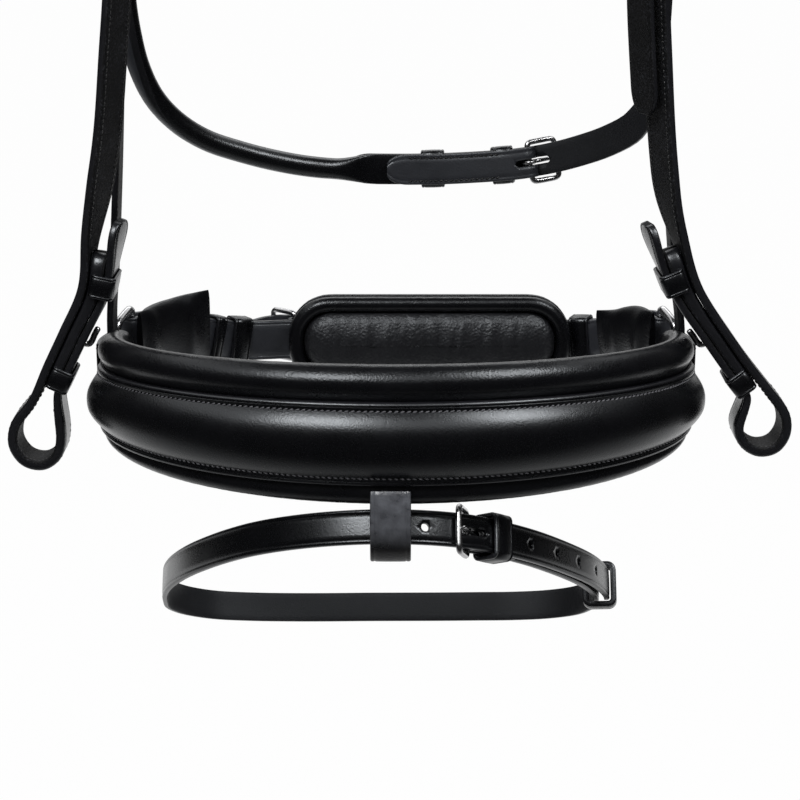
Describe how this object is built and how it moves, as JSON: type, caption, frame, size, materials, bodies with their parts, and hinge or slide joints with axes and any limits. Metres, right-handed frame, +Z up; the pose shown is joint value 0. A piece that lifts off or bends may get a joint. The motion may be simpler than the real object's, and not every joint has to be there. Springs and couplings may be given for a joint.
{
  "type": "english bridle",
  "caption": "Black leather english bridle with wide padded crank noseband, chin pad, flash strap, rolled throatlatch and bit loops.",
  "frame": {"origin": "middle of the flat underside of the poll pad, where the horse's head carries the bridle", "axes": "+Z up, -Y to the horse's front (towards the noseband's front), +X to the right of the picture, the horse's left"},
  "size_m": [0.316, 0.2314, 0.5775],
  "materials": {
    "black_leather": "smooth gloss",
    "soft_leather": "soft grained",
    "bright_steel": "polished"
  },
  "bodies": {
    "bridle": {"cheek_backing_left": "black_leather", "cheek_backing_right": "black_leather", "cheek_fixed_keeper_left": "black_leather", "cheek_fixed_keeper_right": "black_leather", "cheek_keeper_lower_left": "black_leather", "cheek_keeper_lower_right": "black_leather", "cheek_keeper_upper_left": "black_leather", "cheek_keeper_upper_right": "black_leather", "cheek_left_buckle": "bright_steel", "cheek_right_buckle": "bright_steel", "cheekpiece_left": "black_leather", "cheekpiece_right": "black_leather", "chin_buckle": "bright_steel", "chin_chape": "black_leather", "chin_keeper_left_inner": "black_leather", "chin_keeper_left_outer": "black_leather", "chin_keeper_right": "black_leather", "chin_strap": "black_leather", "end_pad_left": "soft_leather", "end_pad_right": "soft_leather", "flash_loop": "black_leather", "hanger_buckle": "bright_steel", "hanger_fixed_keeper": "black_leather", "hanger_long": "black_leather", "hanger_short": "black_leather", "headpiece": "black_leather", "hook_stud_left": "bright_steel", "hook_stud_right": "bright_steel", "noseband": "black_leather", "noseband_lining": "soft_leather", "poll_pad": "soft_leather", "ring_tab_left": "black_leather", "ring_tab_right": "black_leather"},
    "browband": {"browband": "black_leather", "browband_lining": "soft_leather"},
    "chin_pad": {"chin_pad": "soft_leather", "chin_pad_piping": "soft_leather", "chin_pad_back": "black_leather", "chin_pad_loop_left": "black_leather", "chin_pad_loop_right": "black_leather"},
    "flash": {"flash_strap": "black_leather", "flash_buckle": "bright_steel", "flash_fixed_keeper": "black_leather"},
    "throatlatch": {"throat_roll": "black_leather", "throat_strap": "black_leather", "throat_buckle": "bright_steel", "throat_fixed_keeper": "black_leather"},
    "cheek_left_tongue": {"cheek_left_tongue": "bright_steel"},
    "cheek_right_tongue": {"cheek_right_tongue": "bright_steel"},
    "hanger_tongue": {"hanger_tongue": "bright_steel"},
    "chin_tongue": {"chin_tongue": "bright_steel"},
    "flash_tongue": {"flash_tongue": "bright_steel"},
    "throat_tongue": {"throat_tongue": "bright_steel"},
    "cheek_runner_keeper_left": {"cheek_runner_keeper_left": "black_leather"},
    "cheek_runner_keeper_right": {"cheek_runner_keeper_right": "black_leather"},
    "hanger_runner_keeper": {"hanger_runner_keeper": "black_leather"},
    "flash_runner_keeper": {"flash_runner_keeper": "black_leather"},
    "throat_runner_keeper": {"throat_runner_keeper": "black_leather"},
    "crank_ring_left": {"crank_ring_left": "bright_steel"},
    "crank_ring_right": {"crank_ring_right": "bright_steel"}
  },
  "joints": [
    {"name": "browband_slide", "type": "slide", "parent": "bridle", "child": "browband", "axis": [0, 0, 1], "range_m": [-0.008, 0.006]},
    {"name": "flash_swing", "type": "hinge", "parent": "bridle", "child": "flash", "pos_m": [0, -0.0935, -0.4593], "axis": [1, 0, 0], "range_deg": [-7.5, 8]},
    {"name": "throatlatch_swing", "type": "hinge", "parent": "bridle", "child": "throatlatch", "pos_m": [0, 0.0275, -0.1385], "axis": [1, 0, 0], "range_deg": [-2, 30]},
    {"name": "chin_pad_slide", "type": "slide", "parent": "bridle", "child": "chin_pad", "axis": [1, 0, 0], "range_m": [-0.011, 0]},
    {"name": "cheek_left_tongue_turn", "type": "hinge", "parent": "bridle", "child": "cheek_left_tongue", "pos_m": [-0.106, -0.012, -0.198], "axis": [0, 1, 0], "range_deg": [0, 8]},
    {"name": "cheek_right_tongue_turn", "type": "hinge", "parent": "bridle", "child": "cheek_right_tongue", "pos_m": [0.0994, -0.012, -0.198], "axis": [0, -1, 0], "range_deg": [0, 8]},
    {"name": "hanger_tongue_turn", "type": "hinge", "parent": "bridle", "child": "hanger_tongue", "pos_m": [0.1045, 0.0075, -0.224], "axis": [0, 1, 0], "range_deg": [0, 8]},
    {"name": "chin_tongue_turn", "type": "hinge", "parent": "bridle", "child": "chin_tongue", "pos_m": [-0.04578, 0.09089, -0.436], "axis": [0, 0, -1], "range_deg": [0, 8]},
    {"name": "flash_tongue_turn", "type": "hinge", "parent": "flash", "child": "flash_tongue", "pos_m": [0.02645, -0.08151, -0.46521], "axis": [0, 0.5391, 0.8423], "range_deg": [0, 8]},
    {"name": "throat_tongue_turn", "type": "hinge", "parent": "throatlatch", "child": "throat_tongue", "pos_m": [0.05691, 0.05879, -0.35018], "axis": [-0.1692, 0.1547, 0.9734], "range_deg": [0, 8]},
    {"name": "cheek_runner_keeper_left_slide", "type": "slide", "parent": "bridle", "child": "cheek_runner_keeper_left", "axis": [0, 0, 1], "range_m": [-0.006, 0.006]},
    {"name": "cheek_runner_keeper_right_slide", "type": "slide", "parent": "bridle", "child": "cheek_runner_keeper_right", "axis": [0, 0, 1], "range_m": [-0.006, 0.006]},
    {"name": "hanger_runner_keeper_slide", "type": "slide", "parent": "bridle", "child": "hanger_runner_keeper", "axis": [0, 0, 1], "range_m": [-0.006, 0.007]},
    {"name": "flash_runner_keeper_slide", "type": "slide", "parent": "flash", "child": "flash_runner_keeper", "axis": [0.1306, 0.8351, -0.5344], "range_m": [-0.002, 0.002]},
    {"name": "throat_runner_keeper_slide", "type": "slide", "parent": "throatlatch", "child": "throat_runner_keeper", "axis": [0.9978, -0.0563, 0.0356], "range_m": [-0.003, 0.003]},
    {"name": "crank_ring_left_turn", "type": "hinge", "parent": "bridle", "child": "crank_ring_left", "pos_m": [-0.117, 0.0245, -0.425], "axis": [0, 0, 1], "range_deg": [-1.2, 1.2]},
    {"name": "crank_ring_right_turn", "type": "hinge", "parent": "bridle", "child": "crank_ring_right", "pos_m": [0.117, 0.0245, -0.425], "axis": [0, 0, 1], "range_deg": [-1.2, 1.2]}
  ]
}
